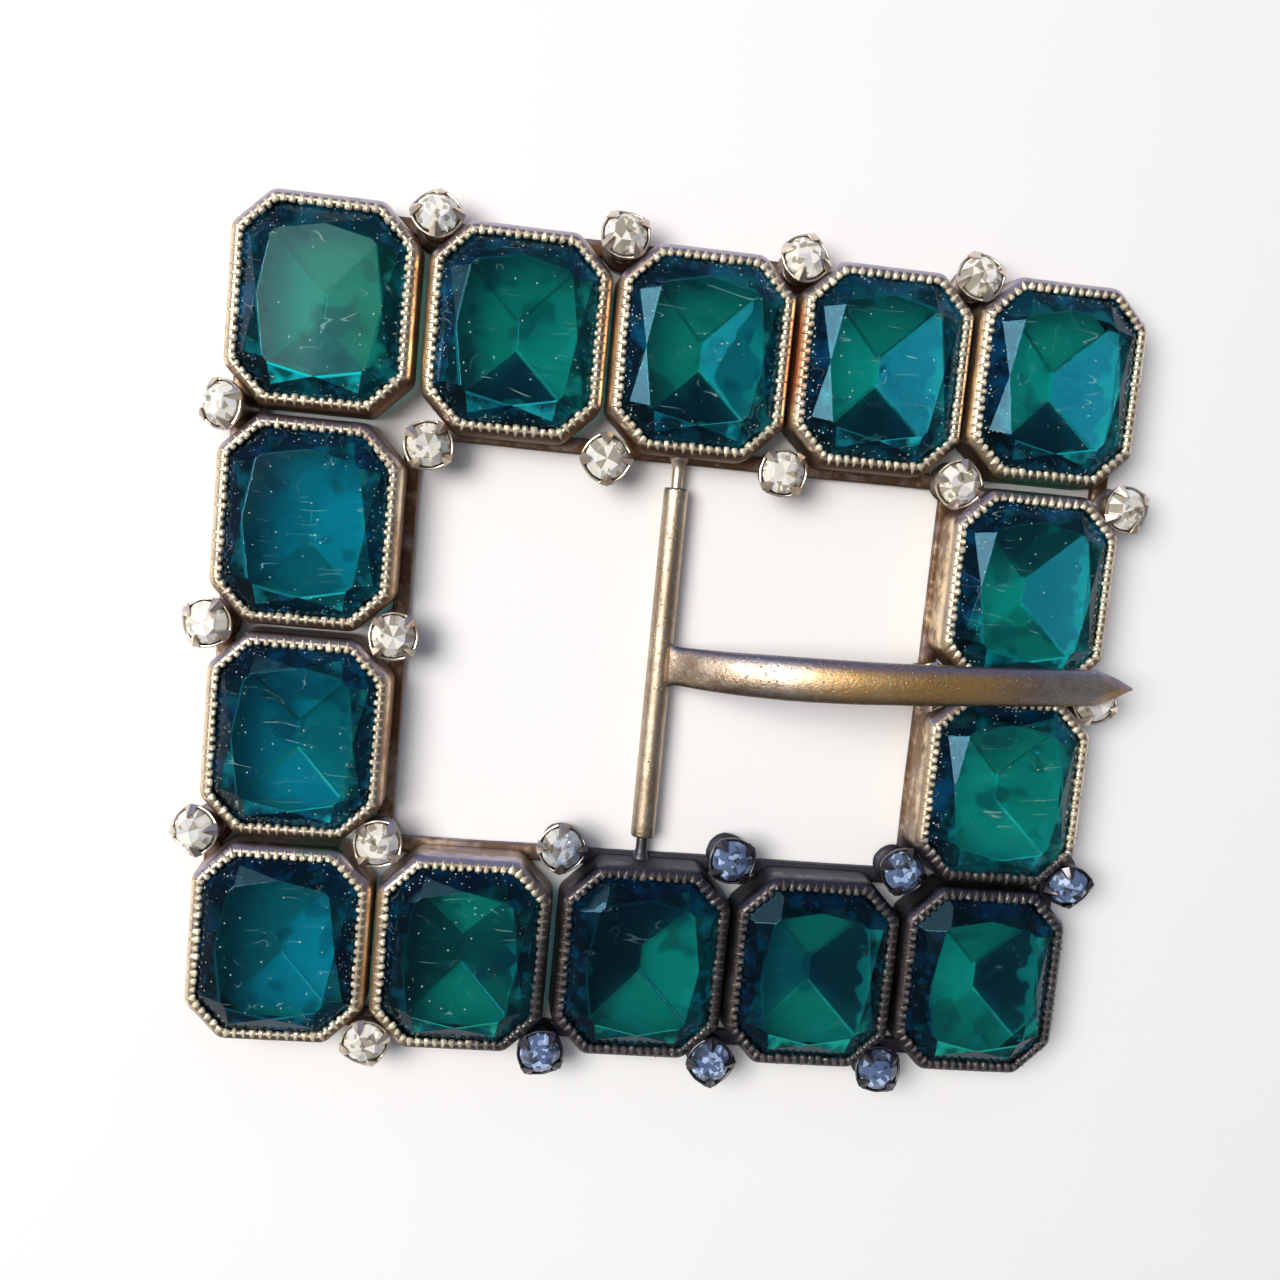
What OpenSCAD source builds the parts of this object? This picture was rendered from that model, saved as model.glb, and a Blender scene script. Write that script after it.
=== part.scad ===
// A rectangular sash buckle: fourteen large cut glass stones in open-backed settings, small
// rhinestones in claw cups between them, all soldered on two flat rails, and a tongue that
// turns on a wire bar. It lies on its back: +X right, +Y up the face, +Z out of the face.

/* [Grid of settings] */
// Distance between the middles of two settings side by side
pitch_x = 16.8; // [16.8:0.05:17.2]
// Distance between the middles of two settings one above the other
pitch_y = 19.2; // [19.2:0.05:19.6]

/* [Settings] */
// Width of a setting at its foot
setting_w = 16.5; // [16.3:0.05:16.5]
// Height of a setting at its foot, up the face of the buckle
setting_h = 18.9; // [18.7:0.05:18.9]
// Length of the cut across each corner of a setting, along either side
corner_cut = 3.4; // [3.0:0.1:3.8]
// Rounding radius at the eight corners of a setting
corner_r = 1.6; // [0.8:0.1:2.0]
// Level of the folded rim that holds a large stone, above the back of the buckle
rim_z = 4.9; // [4.9:0.05:5.2]

/* [Large stones] */
// Gap between a large stone's girdle and the wall around it
stone_gap = 0.1; // [0.06:0.01:0.2]
// Distance of the table's widest point from the girdle
table_inset = 2.2; // [2.0:0.1:2.6]
// Rise of the crown from the girdle to the table
crown_rise = 1.8; // [1.5:0.1:2.2]
// Depth of the pavilion from the girdle to the keel
pavilion_drop = 2.8; // [2.4:0.1:2.9]

/* [Rhinestones] */
// Outer radius of a rhinestone cup
cup_r = 2.25; // [2.15:0.05:2.35]
// Level of the cup's edge above the back of the buckle
cup_z = 4.25; // [4.1:0.05:4.5]
// Length of a claw folded over a rhinestone
claw_len = 1.2; // [0.9:0.05:1.3]
// Width of a claw at its foot
claw_w = 1.2; // [1.0:0.1:1.5]

/* [Rails] */
// Thickness of the flat rails across the back
rail_t = 0.9; // [0.7:0.05:1.1]
// Width of the flat rails
rail_w = 1.5; // [1.3:0.1:1.8]

/* [Bar and tongue] */
// Distance of the bar to the left of the buckle's middle
bar_left = 0.6; // [0:0.1:1.2]
// Radius of the bar's wire
wire_r = 0.54; // [0.5:0.01:0.56]
// Radial clearance of the tongue's tube on the bar
running_gap = 0.08; // [0.05:0.01:0.1]
// Outer radius of the tongue's tube
tube_r = 1.15; // [1.05:0.05:1.2]
// Lower end of the tube, measured up the face from the middle
tube_low = -17.3; // [-17.6:0.1:-16]
// Upper end of the tube, measured up the face from the middle
tube_high = 16.2; // [15:0.1:16.6]
// Sideways lean of the prong: its rise up the face for each millimetre to the right
prong_lean = 0.042; // [0:0.002:0.05]

/* [Hidden] */
// Seats of the large stones, from the top row's left end: column, row, then how far the
// setting stands right of and above its true place in the grid
COL = 0;
ROW = 1;
RIGHT = 2;
UP = 3;
SEATS = [
    [0, 0, -0.10,  0.30],
    [1, 0,  0.20, -0.40],
    [2, 0,  0.20, -0.40],
    [3, 0,  0.15, -0.10],
    [4, 0,  0.20,  0.40],
    [0, 1, -0.15,  0.20],
    [4, 1,  0.00,  0.10],
    [0, 2,  0.15,  0.05],
    [4, 2, -0.15,  0.00],
    [0, 3, -0.10, -0.20],
    [1, 3, -0.15, -0.20],
    [2, 3,  0.10,  0.00],
    [3, 3,  0.00, -0.10],
    [4, 3, -0.10,  0.10]
];
// Seats of the rhinestones: the grid line between two columns, the grid line between two
// rows, how far the cup's edge stands right of and above the point where they cross, by how
// many degrees the cup leans, and towards where (0 is right, 90 is up the face)
LEAN = 4;
TOWARDS = 5;
CUPS = [
    [1, 0,  0.8, -0.35, 22,   90],
    [2, 0,  0.7, -0.25, 16,   90],
    [3, 0,  0.4, -0.40, 16,   80],
    [4, 0,  0.1, -0.20, 14,  100],
    [1, 1,  1.6, -1.40,  6,  -50],
    [2, 1,  0.8, -1.00,  2,  -90],
    [3, 1,  0.4, -0.70,  4, -120],
    [4, 1,  0.4, -0.10,  3, -130],
    [0, 1,  0.1,  0.40, 32,  175],
    [0, 2,  0.1,  0.20, 10,  180],
    [0, 3,  0.1,  0.40, 18,  170],
    [1, 2, -0.2,  0.35,  4,    0],
    [4, 2,  0.0, -0.20,  3,  180],
    [5, 1,  0.3, -0.90,  6,   10],
    [5, 2, -0.3, -0.30,  0,    0],
    [5, 3, -0.5,  0.40, 16, -100],
    [1, 3, -0.2,  0.20,  2,   40],
    [2, 3,  0.0,  0.95,  7,  100],
    [3, 3, -0.5,  0.80,  3,   60],
    [4, 3, -0.5,  0.90,  5,   70],
    [1, 4,  0.0,  0.25,  5,  -90],
    [2, 4, -0.3,  0.10,  2,  -60],
    [3, 4, -0.6,  0.00,  5,   90],
    [4, 4, -0.7,  0.10,  8,  100]
];
columns = 5;
rows = 4;
// Height of the settings' feet, sunk a little in the solder on the rails
foot_z = rail_t - 0.2;

// A setting's wall in section, going round from the outer foot: how far in from the
// outline at the foot, and the level. The wall's inner side stands wall_inset in
INSET = 0;
LEVEL = 1;
wall_inset = 0.65;
wall_section = [
    [0.00, foot_z],
    [0.10, rim_z - 0.70],
    [0.42, rim_z - 0.12],
    [0.78, rim_z + 0.08],
    [1.12, rim_z - 0.08],
    [1.12, rim_z - 0.30],
    [wall_inset, rim_z - 0.66],
    [wall_inset, rim_z - 1.64],
    [1.15, rim_z - 1.84],
    [1.15, rim_z - 2.15],
    [0.42, rim_z - 2.70],
    [0.40, foot_z]
];
// Points along each rounded corner of a setting, less one
corner_steps = 2;

// A large stone at its girdle: width, height up the face, length of the cut across a corner
stone_w = setting_w - 2 * (wall_inset + stone_gap);
stone_h = setting_h - 2 * (wall_inset + stone_gap);
stone_cut = corner_cut - 0.35;
// Levels of a large stone
girdle_top = rim_z - 0.75;
girdle_low = rim_z - 1.55;
table_z = girdle_top + crown_rise;
keel_z = girdle_low - pavilion_drop;
// Inset of the lower ends of the crown's narrow facets from the girdle
facet_inset = 1.2;
// Insets of a table corner from the two girdle sides beside it
corner_near = 3.05;
corner_far = 3.45;
// Inset along the pavilion's ridges where its corner facets end
ridge_inset = 2.6;

// Levels and radii of a rhinestone
chaton_r = 1.94;
chaton_table_r = 1.15;
chaton_girdle_top = cup_z - 0.05;
chaton_girdle_low = cup_z - 0.35;
chaton_table_z = chaton_girdle_top + 0.95;
chaton_tip_z = chaton_girdle_low - 1.6;
// The cup's foot, its waist, its floor and the straight band below its edge
cup_foot_r = 1.3;
cup_waist_z = 1.6;
cup_floor_r = 1.0;
cup_floor_z = cup_waist_z + 0.4;
cup_band = 0.65;
cup_wall = 0.23;
// Thickness and slope of the claws, and where they leave the cup
claw_t = 0.22;
claw_slope = 50;
claw_root_r = 2.15;
claw_root_z = cup_z - 0.12;
// Each cup's claws are turned by this much more than the last one's
claw_turn = 37;

// The outer rail stands inside the settings' outer edge, the inner one reaches into the
// opening, further at the left and top than at the right and bottom
outer_rail = [columns * pitch_x / 2 - 0.4, rows * pitch_y / 2 - 0.4];
inner_rail = [(columns - 2) * pitch_x / 2 - 0.45, (rows - 2) * pitch_y / 2 - 0.45];
inner_rail_middle = [0.3, -0.3];

// The bar lies on the inner rail, and its ends are sunk in solder
bar_x = -bar_left;
bar_z = rail_t + wire_r - 0.09;
bar_low = inner_rail_middle[1] - inner_rail[1] - 0.7;
bar_high = inner_rail_middle[1] + inner_rail[1] + 0.7;
solder_r = 1.0;
solder_len = 1.1;
bore_r = wire_r + running_gap;

// Sections of the prong: how far right of the bar, the level of its middle, width, thickness
REACH = 0;
HEIGHT = 1;
WIDTH = 2;
THICK = 3;
prong_rows = [
    [ 0.75, 1.95, 3.50, 1.50],
    [ 1.80, 2.65, 3.60, 1.90],
    [ 3.60, 4.25, 3.80, 2.20],
    [ 6.20, 6.05, 3.95, 2.35],
    [ 9.60, 7.60, 4.05, 2.40],
    [13.60, 8.70, 4.05, 2.40],
    [18.20, 9.25, 3.95, 2.40],
    [23.20, 9.15, 3.80, 2.35],
    [28.20, 8.60, 3.70, 2.30],
    [33.20, 7.75, 3.65, 2.20],
    [37.60, 6.80, 3.55, 2.05],
    [41.20, 6.10, 3.40, 1.90],
    [43.30, 5.97, 1.85, 1.45],
    [44.90, 5.80, 0.30, 0.70]
];
prong_start_y = -0.5;
prong_sides = 14;
// The prong's under side is flatter than its top
prong_belly = 0.7;

stone_names = [for (k = [0:len(SEATS) - 1]) str("stone_", k + 1)];
rhinestone_names = [for (k = [0:len(CUPS) - 1]) str("rhinestone_", k + 1)];

function seat_xy(s) = [
    (s[COL] - (columns - 1) / 2) * pitch_x + s[RIGHT],
    ((rows - 1) / 2 - s[ROW]) * pitch_y + s[UP]
];

function cup_xy(c) = [
    (c[COL] - columns / 2) * pitch_x + c[RIGHT],
    (rows / 2 - c[ROW]) * pitch_y + c[UP]
];

// Puts a cup, or its rhinestone, in its place and at its lean
module seated(c) {
    translate(concat(cup_xy(c), cup_z))
        rotate([0, 0, c[TOWARDS]])
            rotate([0, c[LEAN], 0])
                rotate([0, 0, -c[TOWARDS]])
                    translate([0, 0, -cup_z]) children();
}

// The eight corners of a rectangle w by h with its corners cut, counter-clockwise
function octagon(w, h, cut) = [
    [w / 2, h / 2 - cut], [w / 2 - cut, h / 2],
    [cut - w / 2, h / 2], [-w / 2, h / 2 - cut],
    [-w / 2, cut - h / 2], [cut - w / 2, -h / 2],
    [w / 2 - cut, -h / 2], [w / 2, cut - h / 2]
];

function toward(p, q, d) = p + (q - p) * d / norm(q - p);

// The same outline with each corner replaced by a short curve of radius about r
function rounded(p, r, steps) = [
    for (i = [0:7])
        let (
            reach = r * tan(22.5),
            a = toward(p[i], p[(i + 7) % 8], reach),
            b = toward(p[i], p[(i + 1) % 8], reach)
        )
        for (k = [0:steps])
            let (t = k / steps)
            (1 - t) * (1 - t) * a + 2 * t * (1 - t) * p[i] + t * t * b
];

// Joins rings of points, one after the other, into a closed tube of faces
function ring_faces(count, n) = [
    for (i = [0:count - 1])
        for (j = [0:n - 1])
            let (i2 = (i + 1) % count, j2 = (j + 1) % n)
            [i * n + j, i2 * n + j, i2 * n + j2, i * n + j2]
];

// One setting: a wall of thin metal, a ledge under the stone and the rim folded over it
module setting() {
    outlines = [
        for (w = wall_section)
            let (d = w[INSET])
            [
                for (p = rounded(
                    octagon(setting_w - 2 * d, setting_h - 2 * d, corner_cut - d * (2 - sqrt(2))),
                    max(corner_r - d, 0.5), corner_steps))
                    [p[0], p[1], w[LEVEL]]
            ]
    ];
    polyhedron(
        points = [for (ring = outlines) each ring],
        faces = ring_faces(len(wall_section), len(outlines[0])),
        convexity = 6
    );
}

// One cup: a stamped cone with a straight edge, and four pointed claws folded inwards
module cup(turn) {
    rotate_extrude($fn = 48)
        polygon([
            [0, foot_z],
            [cup_foot_r, foot_z],
            [cup_foot_r, cup_waist_z],
            [cup_r - 0.05, cup_z - cup_band],
            [cup_r, cup_z],
            [cup_r - cup_wall, cup_z],
            [cup_r - cup_wall - 0.02, cup_z - cup_band],
            [cup_floor_r, cup_floor_z],
            [0, cup_floor_z]
        ]);
    for (k = [0:3])
        rotate([0, 0, turn + 90 * k])
            translate([claw_root_r, 0, claw_root_z])
                rotate([0, claw_slope, 0])
                    rotate([0, 0, 90])
                        linear_extrude(claw_t)
                            polygon([[-claw_w / 2, 0], [claw_w / 2, 0], [0, claw_len]]);
}

// A flat rail all round, given half the size of its outer edge and the cut at its corners
module rail(half, cut) {
    inside = half - [rail_w, rail_w];
    linear_extrude(rail_t)
        difference() {
            polygon(octagon(2 * half[0], 2 * half[1], cut));
            polygon(octagon(2 * inside[0], 2 * inside[1], max(cut - rail_w * (2 - sqrt(2)), 0.3)));
        }
}

// The wire that the tongue turns on, with a cone of solder at each end
module bar() {
    translate([bar_x, bar_low, bar_z])
        rotate([-90, 0, 0]) {
            cylinder(h = bar_high - bar_low, r = wire_r, $fn = 32);
            cylinder(h = solder_len, r1 = solder_r, r2 = wire_r * 0.9, $fn = 32);
            translate([0, 0, bar_high - bar_low - solder_len])
                cylinder(h = solder_len, r1 = wire_r * 0.9, r2 = solder_r, $fn = 32);
        }
}

// Everything that is soldered together
module frame() {
    color("silver") {
        rail(outer_rail, corner_cut + 0.5);
        translate(inner_rail_middle) rail(inner_rail + [rail_w, rail_w], 0.8);
        for (s = SEATS)
            translate(seat_xy(s)) setting();
        for (k = [0:len(CUPS) - 1])
            seated(CUPS[k]) cup(claw_turn * k % 90);
        bar();
    }
}

// The prong: rings along an arch, flatter below than above
module prong() {
    rings = [
        for (s = prong_rows)
            [
                for (k = [0:prong_sides - 1])
                    let (
                        a = 360 * k / prong_sides,
                        lift = sin(a) > 0 ? 1 : prong_belly
                    )
                    [
                        s[REACH],
                        prong_start_y + prong_lean * s[REACH] + cos(a) * s[WIDTH] / 2,
                        s[HEIGHT] + sin(a) * lift * s[THICK] / 2
                    ]
            ]
    ];
    n = prong_sides;
    last = len(prong_rows) - 1;
    sides = [
        for (i = [0:last - 1])
            for (j = [0:n - 1])
                let (j2 = (j + 1) % n)
                each [
                    [i * n + j, (i + 1) * n + j, i * n + j2],
                    [i * n + j2, (i + 1) * n + j, (i + 1) * n + j2]
                ]
    ];
    polyhedron(
        points = [for (ring = rings) each ring],
        faces = concat(
            sides,
            [[for (j = [0:n - 1]) j]],
            [[for (j = [0:n - 1]) last * n + n - 1 - j]]
        ),
        convexity = 4
    );
}

// The tongue: a tube that turns on the bar, with the prong soldered to its middle
module tongue() {
    color("lightsteelblue")
        difference() {
            union() {
                translate([bar_x, tube_low, bar_z])
                    rotate([-90, 0, 0]) cylinder(h = tube_high - tube_low, r = tube_r, $fn = 48);
                translate([bar_x, 0, 0]) prong();
            }
            translate([bar_x, tube_low - 1, bar_z])
                rotate([-90, 0, 0]) cylinder(h = tube_high - tube_low + 2, r = bore_r, $fn = 48);
        }
}

// A large stone's point near one corner, given its insets from the two sides there
function near_corner(sx, sy, u, v, z) = [sx * (stone_w / 2 - u), sy * (stone_h / 2 - v), z];

// A large stone. Crown: a twelve-sided table, a bow-shaped facet on each side, two narrow
// facets beside each of those, and a six-sided facet at each corner. Pavilion: four slopes
// like a hipped roof down to a short keel, and a small facet at each corner.
module stone() {
    side_slope = crown_rise / table_inset;
    corner_slope = crown_rise / ((corner_near + corner_far - stone_cut) / sqrt(2));
    facet_far = side_slope * facet_inset * sqrt(2) / corner_slope + stone_cut - facet_inset;
    facet_z = girdle_top + side_slope * facet_inset;
    pavilion_slope = pavilion_drop / (stone_w / 2);
    ridge_z = girdle_low - pavilion_slope * ridge_inset;
    // The corners counter-clockwise from the upper right, and whether the walk there meets
    // the upright side first
    corners = [[1, 1, true], [-1, 1, false], [-1, -1, true], [1, -1, false]];
    function pair(c, u, v, z) = c[2]
        ? [near_corner(c[0], c[1], u, v, z), near_corner(c[0], c[1], v, u, z)]
        : [near_corner(c[0], c[1], v, u, z), near_corner(c[0], c[1], u, v, z)];
    upper = [for (c = corners) each pair(c, 0, stone_cut, girdle_top)];
    lower = [for (c = corners) each pair(c, 0, stone_cut, girdle_low)];
    facet = [for (c = corners) each pair(c, facet_inset, facet_far, facet_z)];
    corner = [for (c = corners) each pair(c, corner_near, corner_far, table_z)];
    middle = [
        [0, stone_h / 2 - table_inset, table_z], [table_inset - stone_w / 2, 0, table_z],
        [0, table_inset - stone_h / 2, table_z], [stone_w / 2 - table_inset, 0, table_z]
    ];
    ridge = [for (c = corners) near_corner(c[0], c[1], ridge_inset, ridge_inset, ridge_z)];
    keel = [[0, (stone_h - stone_w) / 2, keel_z], [0, (stone_w - stone_h) / 2, keel_z]];
    // Where each group starts in the list of points
    U = 0;
    L = 8;
    F = 16;
    C = 24;
    M = 32;
    R = 36;
    K = 40;
    // The keel's end nearest to each corner
    near_keel = [K, K, K + 1, K + 1];
    polyhedron(
        points = concat(upper, lower, facet, corner, middle, ridge, keel),
        faces = concat(
            [[for (k = [3:-1:0]) each [M + k, C + 2 * k + 1, C + 2 * k]]],
            [for (k = [0:3])
                let (a = 2 * k, b = 2 * k + 1)
                [U + a, F + a, C + a, C + b, F + b, U + b]],
            [for (k = [0:3])
                let (a = 2 * k + 1, b = (2 * k + 2) % 8)
                each [
                    [U + a, F + a, M + k, F + b, U + b],
                    [F + a, C + a, M + k],
                    [F + b, M + k, C + b]
                ]],
            [for (j = [0:7]) [L + j, U + j, U + (j + 1) % 8, L + (j + 1) % 8]],
            [for (k = [0:3]) [L + 2 * k, L + 2 * k + 1, R + k]],
            [for (k = [0:3])
                let (a = 2 * k + 1, b = (2 * k + 2) % 8, r2 = (k + 1) % 4)
                near_keel[k] == near_keel[r2]
                    ? [L + a, L + b, R + r2, near_keel[k], R + k]
                    : [L + a, L + b, R + r2, near_keel[r2], near_keel[k], R + k]]
        ),
        convexity = 2
    );
}

function ring(r, n, z, start = 0) =
    [for (k = [0:n - 1]) [r * cos(start + 360 * k / n), r * sin(start + 360 * k / n), z]];

// A rhinestone: an eight-sided table, eight broad and eight small crown facets, a thin
// girdle and sixteen facets running down to a point
module rhinestone() {
    n = 16;
    half_side = 360 / n / 2;
    points = concat(
        ring(chaton_table_r, 8, chaton_table_z, -half_side * 2),
        ring(chaton_r, n, chaton_girdle_top, -half_side),
        ring(chaton_r, n, chaton_girdle_low, -half_side),
        [[0, 0, chaton_tip_z]]
    );
    T = 0;
    U = 8;
    L = U + n;
    tip = L + n;
    polyhedron(
        points = points,
        faces = concat(
            [[for (k = [7:-1:0]) T + k]],
            [for (k = [0:7])
                let (k2 = (k + 1) % 8)
                [T + k, T + k2, U + 2 * k + 1, U + 2 * k]],
            [for (k = [0:7])
                let (k2 = (k + 1) % 8)
                [T + k2, U + (2 * k + 2) % n, U + 2 * k + 1]],
            [for (j = [0:n - 1]) [L + j, U + j, U + (j + 1) % n, L + (j + 1) % n]],
            [for (j = [0:n - 1]) [L + j, L + (j + 1) % n, tip]]
        ),
        convexity = 2
    );
}

frame();
tongue();
for (k = [0:len(SEATS) - 1])
    color("teal") translate(seat_xy(SEATS[k])) stone();
for (k = [0:len(CUPS) - 1])
    color("whitesmoke") seated(CUPS[k]) rhinestone();
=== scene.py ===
import math
import random

import bmesh
import bpy
from mathutils import Euler, Matrix, Vector, noise


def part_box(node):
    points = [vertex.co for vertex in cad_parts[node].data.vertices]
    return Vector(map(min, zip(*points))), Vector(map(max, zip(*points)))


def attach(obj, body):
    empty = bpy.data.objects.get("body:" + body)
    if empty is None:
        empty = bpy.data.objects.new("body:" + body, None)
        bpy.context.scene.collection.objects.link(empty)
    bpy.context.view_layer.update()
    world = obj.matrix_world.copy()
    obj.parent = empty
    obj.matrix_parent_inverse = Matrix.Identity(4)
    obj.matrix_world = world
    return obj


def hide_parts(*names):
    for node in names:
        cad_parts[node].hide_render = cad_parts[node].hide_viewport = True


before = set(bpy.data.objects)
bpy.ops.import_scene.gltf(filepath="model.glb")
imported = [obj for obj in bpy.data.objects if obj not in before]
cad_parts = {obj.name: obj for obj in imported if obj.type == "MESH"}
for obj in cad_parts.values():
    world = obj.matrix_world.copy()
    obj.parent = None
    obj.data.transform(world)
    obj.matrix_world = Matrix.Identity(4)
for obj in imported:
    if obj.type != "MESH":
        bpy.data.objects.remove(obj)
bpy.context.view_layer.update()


# The table that the buckle lies on: a wide, pale, matt board. Light comes from a large soft
# lamp at the upper left, in a room with a bright glow behind the lamp and bluish walls.
mm = 0.001
scene = bpy.context.scene
scene.view_settings.view_transform = "Standard"


def fill(node, inputs):
    """Gives a node its inputs: numbers, colours or the outputs of other nodes."""
    for key, value in inputs.items():
        if isinstance(value, bpy.types.NodeSocket):
            node.id_data.links.new(value, node.inputs[key])
        else:
            node.inputs[key].default_value = value


def add_node(tree, kind, inputs, **settings):
    """Adds a node with these inputs and settings."""
    made = tree.nodes.new(kind)
    for name, value in settings.items():
        setattr(made, name, value)
    fill(made, inputs)
    return made


def step(kind, inputs, result=0, **settings):
    """Adds a node to the tree that its inputs come from, and returns one of its outputs."""
    sources = [value for value in inputs.values() if isinstance(value, bpy.types.NodeSocket)]
    return add_node(sources[0].id_data, kind, inputs, **settings).outputs[result]


def blend(share, first, second, way="MIX"):
    """The first colour where the share is 0, the second, or both multiplied, where it is 1."""
    inputs = {0: share, 6: first, 7: second}
    return step("ShaderNodeMix", inputs, 2, data_type="RGBA", blend_type=way)


def new_material(name):
    """A material, its tree, its shader, its output and the place on the object, in metres."""
    material = bpy.data.materials.new(name)
    material.use_nodes = True
    tree = material.node_tree
    tree.nodes.clear()
    shader = tree.nodes.new("ShaderNodeBsdfPrincipled")
    output = tree.nodes.new("ShaderNodeOutputMaterial")
    tree.links.new(shader.outputs[0], output.inputs["Surface"])
    here = tree.nodes.new("ShaderNodeTexCoord").outputs["Object"]
    return material, tree, shader, output, here


def grain(here, size, detail=3.0, roughness=0.5):
    """Noise between 0 and 1 whose blotches are about as wide as the size, in millimetres."""
    return step("ShaderNodeTexNoise", {"Vector": here, "Scale": 1 / (size * mm), "Detail": detail,
                                       "Roughness": roughness})


def put(name, data):
    """Puts a mesh, lamp or camera in the scene as an object."""
    held = bpy.data.objects.new(name, data)
    scene.collection.objects.link(held)
    return held


board_size = 3.0
board_mesh = bpy.data.meshes.new("board")
half = board_size / 2
board_mesh.from_pydata([(-half, -half, 0), (half, -half, 0), (half, half, 0), (-half, half, 0)],
                       [], [(0, 1, 2, 3)])
board_paint, tree, shader, output, here = new_material("board_paint")
board_tone = blend(grain(here, 20.0), (0.90, 0.895, 0.885, 1), (0.92, 0.915, 0.905, 1))
fill(shader, {"Base Color": board_tone, "Roughness": 0.75, "Specular IOR Level": 0.2})
board_mesh.materials.append(board_paint)
board = put("board", board_mesh)


def vector_step(operation, inputs, result="Vector"):
    """One step of arithmetic on places or directions."""
    return step("ShaderNodeVectorMath", inputs, result, operation=operation)


def fade(value, start, end):
    """Rises smoothly from 0 where the value is at start to 1 where it is at end."""
    inputs = {"Value": value, "From Min": start, "From Max": end}
    return step("ShaderNodeMapRange", inputs, interpolation_type="SMOOTHSTEP")


def split(triple):
    """The three numbers of a place or a colour."""
    kind = "ShaderNodeSeparateColor" if triple.type == "RGBA" else "ShaderNodeSeparateXYZ"
    return add_node(triple.id_data, kind, {0: triple}).outputs


def towards(direction, way):
    """The cosine of the angle between a direction and the given way."""
    return vector_step("DOT_PRODUCT", {0: direction, 1: Vector(way).normalized()}, "Value")


room = bpy.data.worlds.new("room")
scene.world = room
room.use_nodes = True
tree = room.node_tree
tree.nodes.clear()
direction = tree.nodes.new("ShaderNodeTexCoord").outputs["Generated"]
direction = vector_step("NORMALIZE", {0: direction})
height = split(direction)["Z"]
far_wall = fade(towards(direction, (-0.2, 1.0, 0.0)), -0.2, 0.8)
low_light = blend(far_wall, (0.27, 0.24, 0.23, 1), (0.24, 0.29, 0.52, 1))
right_wall = fade(towards(direction, (0.75, -0.65, 0.0)), -0.1, 0.6)
low_light = blend(right_wall, low_light, (0.14, 0.18, 0.27, 1))
room_light = blend(fade(height, 0.45, 0.75), low_light, (0.20, 0.20, 0.21, 1))
glow = fade(towards(direction, (-0.48, 0.26, 0.84)), 0.900, 0.945)
room_light = blend(glow, room_light, (2.7, 2.6, 2.5, 1))
# The camera itself sees a plain pale backdrop
seen = tree.nodes.new("ShaderNodeLightPath").outputs["Is Camera Ray"]
room_light = blend(seen, room_light, (0.82, 0.82, 0.82, 1))
background = step("ShaderNodeBackground", {"Color": room_light, "Strength": 1.0})
add_node(tree, "ShaderNodeOutputWorld", {"Surface": background})

lamp_data = bpy.data.lights.new("window_lamp", "AREA")
lamp_data.shape = "DISK"
lamp_data.size = 0.33
lamp_data.energy = 2.4
lamp_data.color = (1.0, 0.98, 0.945)
lamp = put("window_lamp", lamp_data)
lamp_place = Vector((-0.324, 0.087, 0.46))
lamp.location = lamp_place
lamp.rotation_euler = (-lamp_place).to_track_quat("-Z", "Y").to_euler()

# The camera looks down on the buckle from where the photograph was taken
camera_data = bpy.data.cameras.new("camera")
camera_data.sensor_width = 36.0
camera_data.lens = 35.156
camera_data.clip_start = 0.01
camera_data.clip_end = 20.0
camera = put("camera", camera_data)
camera_place = Vector((-15.63, 13.54, 118.57)) * mm
camera_right = Vector((0.99040, 0.09538, 0.10002))
camera_up = Vector((-0.08428, 0.99036, -0.10989))
camera_back = -Vector((0.10954, -0.10042, -0.98890))
camera_turn = Matrix((camera_right, camera_up, camera_back)).transposed().to_4x4()
camera.matrix_world = Matrix.Translation(camera_place) @ camera_turn
scene.camera = camera


# The two rails: flat strips of plated brass bent to rectangles, that carry everything. They
# lie on the table, brown with old flux and dirt, with softened edges.
def calculate(operation, first, second=0.0, third=0.0):
    """One step of arithmetic on two or three numbers."""
    return step("ShaderNodeMath", {0: first, 1: second, 2: third}, operation=operation)


def times(first, second):
    """The product of two numbers."""
    return calculate("MULTIPLY", first, second)


def times_plus(value, factor, start):
    """The value multiplied by the factor, with the start added to it."""
    return calculate("MULTIPLY_ADD", value, factor, start)


def tint(colour, share, strength, tone):
    """The colour with a tone laid over it where the share says, as strongly as the strength."""
    return blend(times(share, strength), colour, (*tone, 1))


def emboss(shader, strength, depth, height):
    """Makes the surface seem to rise and fall with the height, by a depth in millimetres."""
    inputs = {"Strength": strength, "Distance": depth * mm, "Height": height}
    fill(shader, {"Normal": step("ShaderNodeBump", inputs)})


def painted_shade_corner(here):
    """Where painted shade darkens metal, glass and foil: 1 in the lower right of the buckle, 0
    elsewhere.
    """
    place = split(here)
    slanted = times_plus(place["Y"], -0.4, place["X"])
    return times(fade(slanted, -5.0 * mm, 3.0 * mm), fade(place["Y"], -13.5 * mm, -17.0 * mm))


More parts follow.
